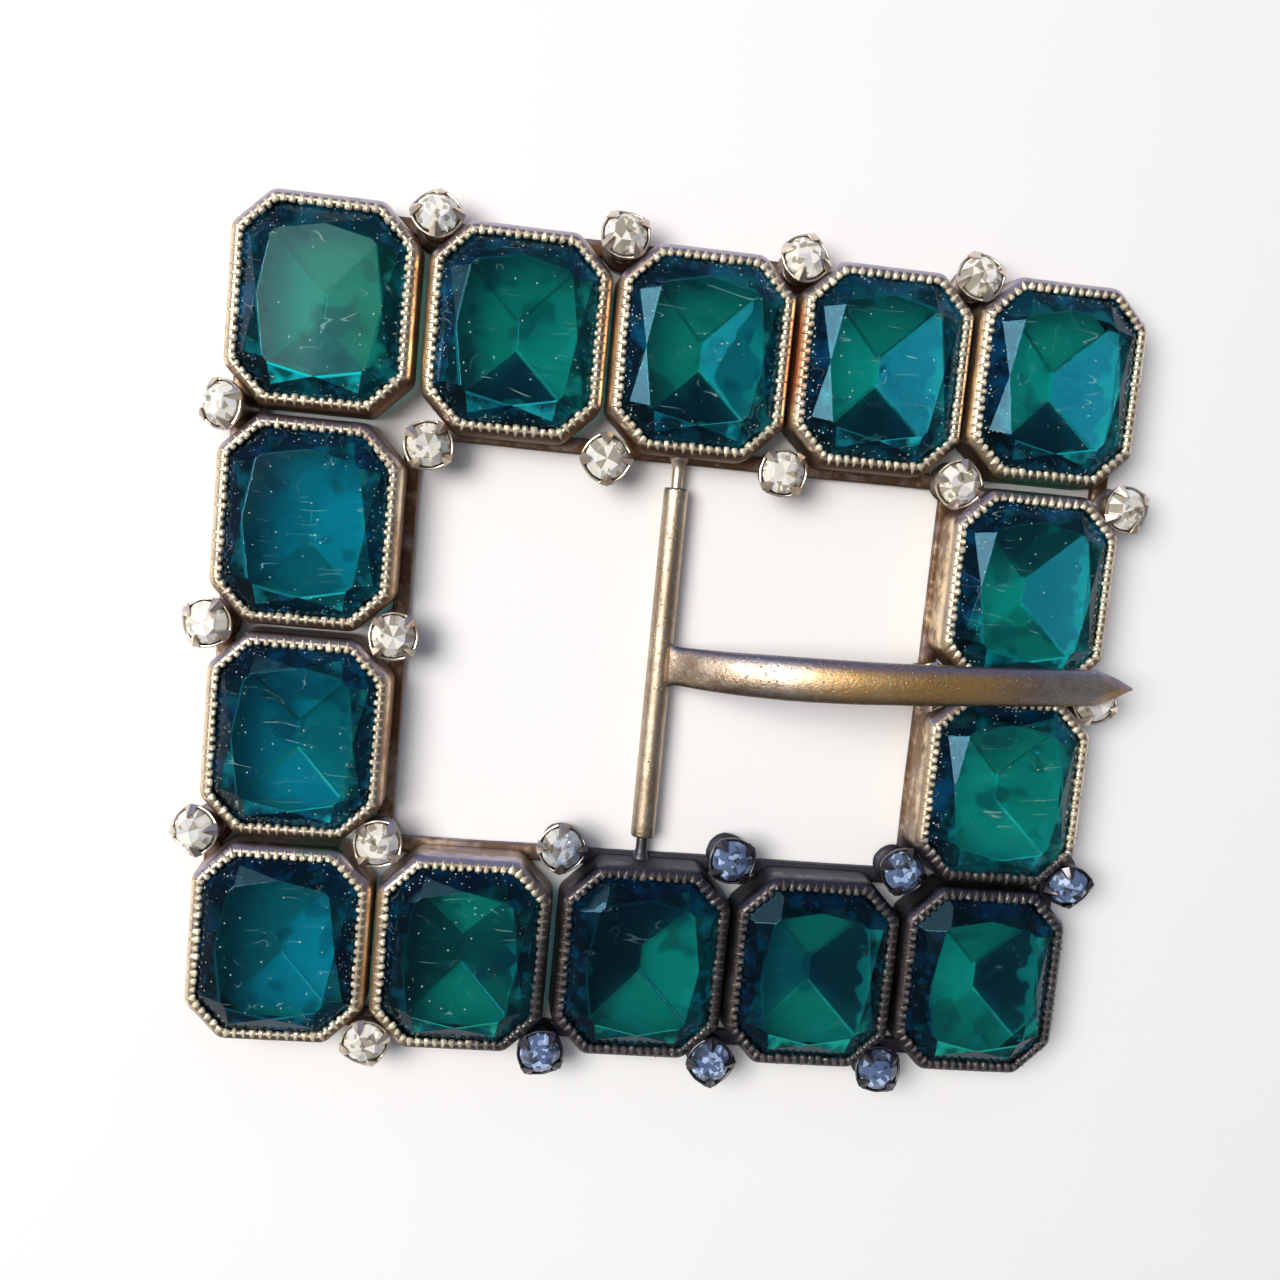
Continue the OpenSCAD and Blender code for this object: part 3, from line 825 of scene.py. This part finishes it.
# Duller at the tube and towards the point, golden along the middle and on the point itself
reach = split(here)["X"]
colour = tint(colour, fade(reach, 2.0 * mm, 0.8 * mm), 0.55, (0.42, 0.33, 0.23))
colour = tint(colour, fade(reach, 20.0 * mm, 33.0 * mm), 0.5, (0.34, 0.27, 0.23))
stain = times(fade(reach, 9.0 * mm, 16.0 * mm), fade(reach, 36.0 * mm, 27.0 * mm))
stain = calculate("MAXIMUM", stain, fade(reach, 40.0 * mm, 43.0 * mm))
stain = times(stain, fade(speckled, 0.28, 0.56))
colour = tint(colour, stain, 0.92, (0.82, 0.45, 0.11))
# Painted sky reflection greys its upper side and painted shadow browns its lower one, with painted
# glints and dark pits
facing = tree.nodes.new("ShaderNodeNewGeometry").outputs["Normal"]
painted_sky_side = fade(towards(facing, (0.0, 1.0, 0.0)), 0.15, 0.75)
colour = tint(colour, painted_sky_side, 0.85, (0.22, 0.225, 0.32))
painted_shadow_side = fade(towards(facing, (0.0, -1.0, 0.0)), 0.25, 0.80)
colour = tint(colour, painted_shadow_side, 0.9, (0.11, 0.06, 0.035))
colour = tint(colour, fade(speckled, 0.60, 0.68), 0.8, (0.95, 0.84, 0.68))
colour = tint(colour, pits, 0.6, (0.16, 0.10, 0.07))
rough = times_plus(brushed, 0.20, 0.27)
fill(shader, {"Base Color": colour, "Metallic": 1.0, "Roughness": rough})
relief = times_plus(small, 1.5, brushed)
relief = times_plus(pits, -2.0, relief)
relief = times_plus(speckled, 2.0, relief)
emboss(shader, 0.6, 0.035, relief)

tube = put("tube", tube_mesh)
prong = put("prong", prong_mesh)
join = tube.modifiers.new("braze", "BOOLEAN")
join.operation = "UNION"
join.solver = "EXACT"
join.object = prong
graph = bpy.context.evaluated_depsgraph_get()
tongue_mesh = bpy.data.meshes.new_from_object(tube.evaluated_get(graph), depsgraph=graph)
tube.modifiers.clear()
bpy.data.objects.remove(tube)
bpy.data.objects.remove(prong)
tongue_mesh.name = "buckle_tongue_metal"
soft_shade(tongue_mesh, 34)
stand("buckle_tongue_metal", tongue_mesh, "buckle_tongue", [tongue_finish],
      ["tongue"])


# The large stones: pressed blue-green glass with a fire-polished crown and a hipped back,
# held between ledge and rim. Painted light and shade on their facets, with painted glints and
# highlights, tint the light unevenly, besides blotches of dirt and old colour, and wear shows
# as dust, fine scratches and rubbed edges.
stone_glass, tree, shader, output, here = new_material("teal_glass")
facet = painted(tree, "tone")
level = split(here)["Z"]
# Behind is the back of a stone, and in front its crown without the table
behind = fade(level, 3.3 * mm, 3.1 * mm)
in_front = times(calculate("SUBTRACT", 1.0, behind), fade(level, 5.92 * mm, 5.85 * mm))
cloud = fade(grain(here, 3.6, 1.0), 0.56, 0.66)
tone = tint(facet["Color"], times(cloud, behind), 0.6, (0.004, 0.03, 0.09))
# A painted bright mint band on the back, just below the girdle
waver = times_plus(grain(here, 2.4, 1.0), 1.6 * mm, level)
near_girdle = fade(waver, 3.15 * mm, 3.30 * mm)
tone = tint(tone, near_girdle, behind, (0.03, 0.62, 0.60))
patch = fade(grain(here, 2.8, 2.0), 0.66, 0.46)
tone = tint(tone, times(patch, in_front), 0.9, (0.001, 0.006, 0.012))
wide_cells = cells(here, 0.7)
cell_chance = split(wide_cells["Color"])
glints = times(fade(cell_chance[0], 0.80, 0.95), in_front)
tone = tint(tone, glints, 0.35, (0.002, 0.16, 0.42))


def thin_lines(bends, width, core):
    """Thin bent lines, where a noise passes through its middle."""
    return fade(calculate("ABSOLUTE", calculate("SUBTRACT", bends, 0.5)), width, core)


# Marks on the crown: specks, dust that lies thickest low down, scratches and hairs
specks = times(fade(wide_cells["Distance"], 0.125, 0.065), fade(cell_chance[1], 0.60, 0.62))
dots = cells(here, 0.34)
low_down = times_plus(fade(level, 6.0 * mm, 4.9 * mm), 0.6, 0.4)
dot_size = times(times(split(dots["Color"])[0], 0.27), low_down)
dust = fade(calculate("SUBTRACT", dots["Distance"], dot_size), 0.02, -0.03)
dust = times(dust, fade(grain(here, 1.8, 2.0), 0.41, 0.58))
turned = step("ShaderNodeMapping", {"Vector": here, "Rotation": (0.0, 0.0, 0.7),
                                    "Scale": (0.14, 1.0, 1.0)})
scratches = thin_lines(grain(turned, 1.1, 0.0), 0.010, 0.003)
scratch_spots = fade(grain(here, 2.7, 1.0), 0.56, 0.62)
scratches = times(scratches, times(scratch_spots, 0.35))
hairs = thin_lines(grain(here, 2.8, 1.0), 0.0028, 0.0006)
hair_spots = fade(grain(here, 2.3, 1.0), 0.58, 0.64)
hairs = times(hairs, times(hair_spots, 0.36))
marks = calculate("MAXIMUM", specks, dust)
marks = calculate("MAXIMUM", marks, scratches)
marks = calculate("MAXIMUM", marks, hairs)
marks = times(marks, fade(level, 3.6 * mm, 4.2 * mm))
# In the painted shade of the lower right corner the marks hardly show, and the crown's gloss is
# turned down as painted shade
stone_shade = painted_shade_corner(here)
marks = times(marks, times_plus(stone_shade, -0.75, 1.0))
gloss = times_plus(times(stone_shade, in_front), -0.42, 0.5)
clearness = times_plus(marks, -0.75, 1.0)
smear = fade(grain(here, 2.5, 1.0), 0.46, 0.64)
fill(shader, {
    "Base Color": blend(marks, tone, (0.72, 0.78, 0.76, 1)),
    "Roughness": times_plus(smear, 0.03, 0.004), "IOR": 1.52,
    "Transmission Weight": times(clearness, facet["Alpha"]),
    "Specular IOR Level": gloss, "Specular Tint": (0.22, 0.52, 0.72, 1.0)})
ripple = times(grain(here, 2.6, 1.0), times_plus(behind, 0.95, 0.05))
emboss(shader, 0.5, 0.09, ripple)
body_colour = add_node(tree, "ShaderNodeVolumeAbsorption",
                       {"Color": (0.10, 0.80, 0.79, 1), "Density": 260.0}).outputs[0]
fill(output, {"Volume": body_colour})

GREEN = (0.02, 0.47, 0.40, 1)
LEAF = (0.04, 0.64, 0.52, 1)
MINT = (0.04, 1.0, 0.88, 1)
BLUE = (0.005, 0.14, 0.30, 1)
SEA = (0.01, 0.48, 0.76, 1)
TEAL = (0.01, 0.27, 0.38, 1)
NAVY = (0.001, 0.035, 0.065, 1)
DEEP = (0.004, 0.13, 0.14, 1)
CLEAR = (0.50, 1.0, 1.0, 1)
HAZED = (0.50, 0.95, 0.72, 0.95)
THIN_HAZE = (0.40, 0.95, 0.75, 0.975)
# The painted light and shade that the back facets of each stone pass on: right, upper, left and lower
back_tones = [
    (GREEN, LEAF, MINT, TEAL), (GREEN, GREEN, LEAF, NAVY), (TEAL, GREEN, LEAF, NAVY),
    (BLUE, GREEN, MINT, NAVY), (BLUE, LEAF, MINT, NAVY), (SEA, SEA, SEA, TEAL),
    (NAVY, DEEP, MINT, GREEN), (TEAL, SEA, SEA, SEA), (GREEN, GREEN, MINT, LEAF),
    (SEA, TEAL, TEAL, SEA), (DEEP, LEAF, DEEP, GREEN), (GREEN, NAVY, NAVY, GREEN),
    (NAVY, GREEN, TEAL, GREEN), (NAVY, GREEN, MINT, GREEN),
]
girdle_level = 3.35
crown_level = 4.15
# A facet whose normal is this near the stone's axis is the table
table_cosine = 0.98
# The facets of the crown by the way they face, in degrees: the painted light and shade with which
# they tint the light, and how much of it they let through. The first list is the sides, the
# second the narrow facets between the sides and the table
side_tones = {
    0: (0.002, 0.07, 0.10, 0.78), 45: (0.002, 0.15, 0.34, 0.76), 90: (0.002, 0.12, 0.26, 0.78),
    135: (0.003, 0.08, 0.15, 0.84), 180: (0.002, 0.14, 0.36, 0.78), 225: (0.002, 0.03, 0.05, 0.88),
    270: (0.002, 0.08, 0.12, 0.80), 315: (0.003, 0.18, 0.22, 0.80),
}
narrow_tones = {
    9: (0.02, 0.34, 0.30, 0.80), 78: (0.01, 0.24, 0.28, 0.80), 102: (0.01, 0.20, 0.26, 0.84),
    171: (0.01, 0.30, 0.42, 0.85), 189: (0.01, 0.46, 0.56, 0.80), 258: (0.01, 0.42, 0.50, 0.70),
    282: (0.02, 0.80, 0.86, 0.55), 351: (0.02, 0.42, 0.36, 0.72),
}


def facet_tone(face, number):
    """How a facet tints the light that goes through it with painted light and shade, and how much it
    lets through. The first stone's table gets a painted haze of light, some narrow facets painted
    highlights, and the crown facets of stones 10 to 14 and the sides of stones 6 and 8 painted shade."""
    across = face.normal
    middle = face.calc_center_median()
    if across.z > table_cosine and number > 1:
        return CLEAR
    if across.z > table_cosine:
        return HAZED if middle.x < seats[0].x or middle.y > seats[0].y + 2 * mm else THIN_HAZE
    turn = math.degrees(math.atan2(across.y, across.x)) % 360
    if middle.z > crown_level * mm:
        on_axis = abs((turn + 22.5) % 45 - 22.5) < 3
        choices = side_tones if on_axis else narrow_tones
        nearest = min(choices, key=lambda way: abs((turn - way + 180) % 360 - 180))
        red, green, blue, clearness = choices[nearest]
        if number == 1 and nearest in (258, 282):
            return (0.01, 0.95, 1.0, 0.40)
        if number >= 11 and nearest in (258, 282):
            return (0.02, 0.70, 0.52, 0.60)
        if number >= 13 and nearest in (9, 351):
            return (0.02, 0.55, 0.45, 0.75)
        if number >= 10 or number in (6, 8) and on_axis:
            return (red / 2, green / 3, blue / 2.5, clearness)
        return choices[nearest]
    if middle.z > (girdle_level - 0.01) * mm:
        return NAVY
    off = abs((turn + 45) % 90 - 45)
    return back_tones[number - 1][round(turn / 90) % 4] if off < 30 else CLEAR


def ridge_tone(face, tones):
    """The rounded ridge at the lower right of each back gets a painted highlight, those at the top
    painted shade, and in the blue stones they hardly show."""
    turn = math.degrees(math.atan2(face.normal.y, face.normal.x)) % 360
    if tones[3] == TEAL:
        return tones[0]
    if face.normal.z < -0.97 or tones[0] == tones[2] or tones[0] == tones[3]:
        return tones[2]
    if 290 < turn < 340:
        return CLEAR
    return (0.01, 0.22, 0.21, 1) if turn < 180 else LEAF


def node_facets(name):
    """The flat facets of a node, each of them one face."""
    facets = bmesh.new()
    facets.from_mesh(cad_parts[name].data)
    bmesh.ops.remove_doubles(facets, verts=facets.verts, dist=0.001 * mm)
    bmesh.ops.dissolve_limit(facets, angle_limit=math.radians(0.5), verts=facets.verts,
                             edges=facets.edges)
    bmesh.ops.recalc_face_normals(facets, faces=facets.faces)
    return facets


def rub_edges(facets, edges, width, steps):
    """Rubs the edges between facets round and returns the new faces there."""
    return bmesh.ops.bevel(facets, geom=edges, offset=width * mm, segments=steps, profile=0.5,
                           affect="EDGES", clamp_overlap=True)["faces"]


for number in range(1, seat_count + 1):
    facets = node_facets(f"stone_{number}")
    if number == 1:
        table = [face for face in facets.faces if face.normal.z > table_cosine]
        bmesh.ops.poke(facets, faces=table)
    layer = facets.faces.layers.float_color.new("tone")
    for face in facets.faces:
        face[layer] = facet_tone(face, number)
    back_edges = [edge for edge in facets.edges
                  if min(vertex.co.z for vertex in edge.verts) < (girdle_level - 0.1) * mm]
    for face in rub_edges(facets, back_edges, 0.17, 3):
        face[layer] = ridge_tone(face, back_tones[number - 1])
    front_edges = [edge for edge in facets.edges
                   if min(vertex.co.z for vertex in edge.verts) > (girdle_level - 0.05) * mm
                   and len(edge.link_faces) == 2 and edge.calc_face_angle(0.0) > math.radians(4)]
    rub_edges(facets, front_edges, 0.045, 2)
    bmesh.ops.recalc_face_normals(facets, faces=facets.faces)
    seat = seats[number - 1] + Vector((0, 0, girdle_level * mm))
    tilt = Euler((math.radians(chance.uniform(-0.4, 0.4)), math.radians(chance.uniform(-0.4, 0.4)),
                  math.radians(chance.uniform(-0.25, 0.25))))
    bmesh.ops.rotate(facets, verts=facets.verts, cent=seat, matrix=tilt.to_matrix())
    name = f"cut_stone_{number}"
    stone_mesh = bpy.data.meshes.new(name)
    facets.to_mesh(stone_mesh)
    facets.free()
    stand(name, stone_mesh, "buckle_frame", [stone_glass], [f"stone_{number}"])


# The rhinestones: small clear glass brilliants with a silvered back, so that light turns
# round inside them. The foil has yellowed unevenly.
clear_glass, tree, shader, output, here = new_material("clear_glass")
facet = painted(tree, "tone")
# Painted shade: in the lower right corner of the buckle the stones are painted dark blue, with painted
# pale blue glints
chaton_shade = painted_shade_corner(here)
painted_shade_blue = blend(chaton_shade, (1.0, 0.985, 0.91, 1), (0.12, 0.185, 0.34, 1))
tinted = blend(1.0, painted_shade_blue, facet["Color"], "MULTIPLY")
# Painted flashes of light and dark over the facets
flashes = split(cells(here, 0.50)["Color"])
bright = blend(fade(flashes[0], 0.35, 0.55), (0.93, 0.93, 1.0, 1), (1.0, 0.99, 0.95, 1))
bright = blend(fade(flashes[1], 0.80, 0.88), bright, (0.40, 0.35, 0.28, 1))
tinted = blend(0.9, tinted, bright, "MULTIPLY")
tinted = tint(tinted, fade(flashes[2], 0.74, 0.82), chaton_shade, (0.50, 0.64, 0.92))
haze = fade(grain(here, 0.7, 4.0), 0.45, 0.70)
clearness = times_plus(haze, -0.15, 1.0)
fill(shader, {
    "Base Color": tinted, "Roughness": times_plus(haze, 0.08, 0.02),
    "IOR": 1.56, "Transmission Weight": times(clearness, facet["Alpha"])})

foil, tree, shader, output, here = new_material("foil_back")
foil_age = fade(grain(here, 9.0, 3.0, 0.6), 0.42, 0.60)
foil_colour = blend(foil_age, (0.93, 0.92, 0.90, 1), (0.86, 0.78, 0.56, 1))
foil_spots = fade(grain(here, 0.45, 3.0), 0.60, 0.72)
foil_colour = tint(foil_colour, foil_spots, 0.6, (0.30, 0.28, 0.25))
# Painted shade: the foil in the lower right corner of the buckle is painted dark blue
foil_colour = blend(painted_shade_corner(here), foil_colour, (0.14, 0.22, 0.42, 1))
foil_colour = blend(1.0, foil_colour, painted(tree, "tone")["Color"], "MULTIPLY")
rough = times_plus(foil_spots, 0.2, 0.30)
fill(shader, {"Base Color": foil_colour, "Metallic": 0.20, "Roughness": rough})

# The facets of the crown and of the foiled back: their tint, picked at random as painted light,
# shade and reflection, and how much light they let through
crown_tints = [(1.0, 1.0, 0.98, 0.15), (1.0, 0.98, 0.92, 0.20), (0.92, 0.95, 1.0, 0.25),
               (0.62, 0.57, 0.50, 0.45), (1.0, 0.97, 0.90, 0.30)]
table_tints = [(1.0, 1.0, 0.98, 0.15), (1.0, 0.98, 0.90, 0.30), (0.90, 0.93, 1.0, 0.35),
               (0.62, 0.56, 0.48, 0.45), (1.0, 1.0, 0.98, 0.15)]
back_tints = [(1.0, 1.0, 1.0, 1), (1.0, 0.96, 0.86, 1), (0.74, 0.80, 1.0, 1), (0.20, 0.17, 0.15, 1)]
girdle_depth = 0.37
for number in range(1, cup_count + 1):
    facets = node_facets(f"rhinestone_{number}")
    rim, turn = cup_places[number - 1]
    axis = turn.to_matrix() @ Vector((0, 0, 1))
    # The table is cut into sectors, each with its own painted reflection
    table = [face for face in facets.faces if face.normal.dot(axis) > table_cosine]
    bmesh.ops.poke(facets, faces=table)
    layer = facets.faces.layers.float_color.new("tone")
    for face in facets.faces:
        if face.normal.dot(axis) > table_cosine:
            face[layer] = chance.choice(table_tints)
        elif face.normal.dot(axis) > -0.05:
            face[layer] = chance.choice(crown_tints)
        else:
            face[layer] = chance.choice(back_tints)
    corners = [edge for edge in facets.edges if edge.calc_face_angle(0.0) > math.radians(4)]
    rub_edges(facets, corners, 0.02, 1)
    for face in facets.faces:
        below_girdle = (face.calc_center_median() - rim).dot(axis) < -girdle_depth * mm
        face.material_index = 1 if below_girdle else 0
    name = f"foiled_rhinestone_{number}"
    chaton_mesh = close_shape(facets, bpy.data.meshes.new(name))
    stand(name, chaton_mesh, "buckle_frame", [clear_glass, foil],
          [f"rhinestone_{number}"])
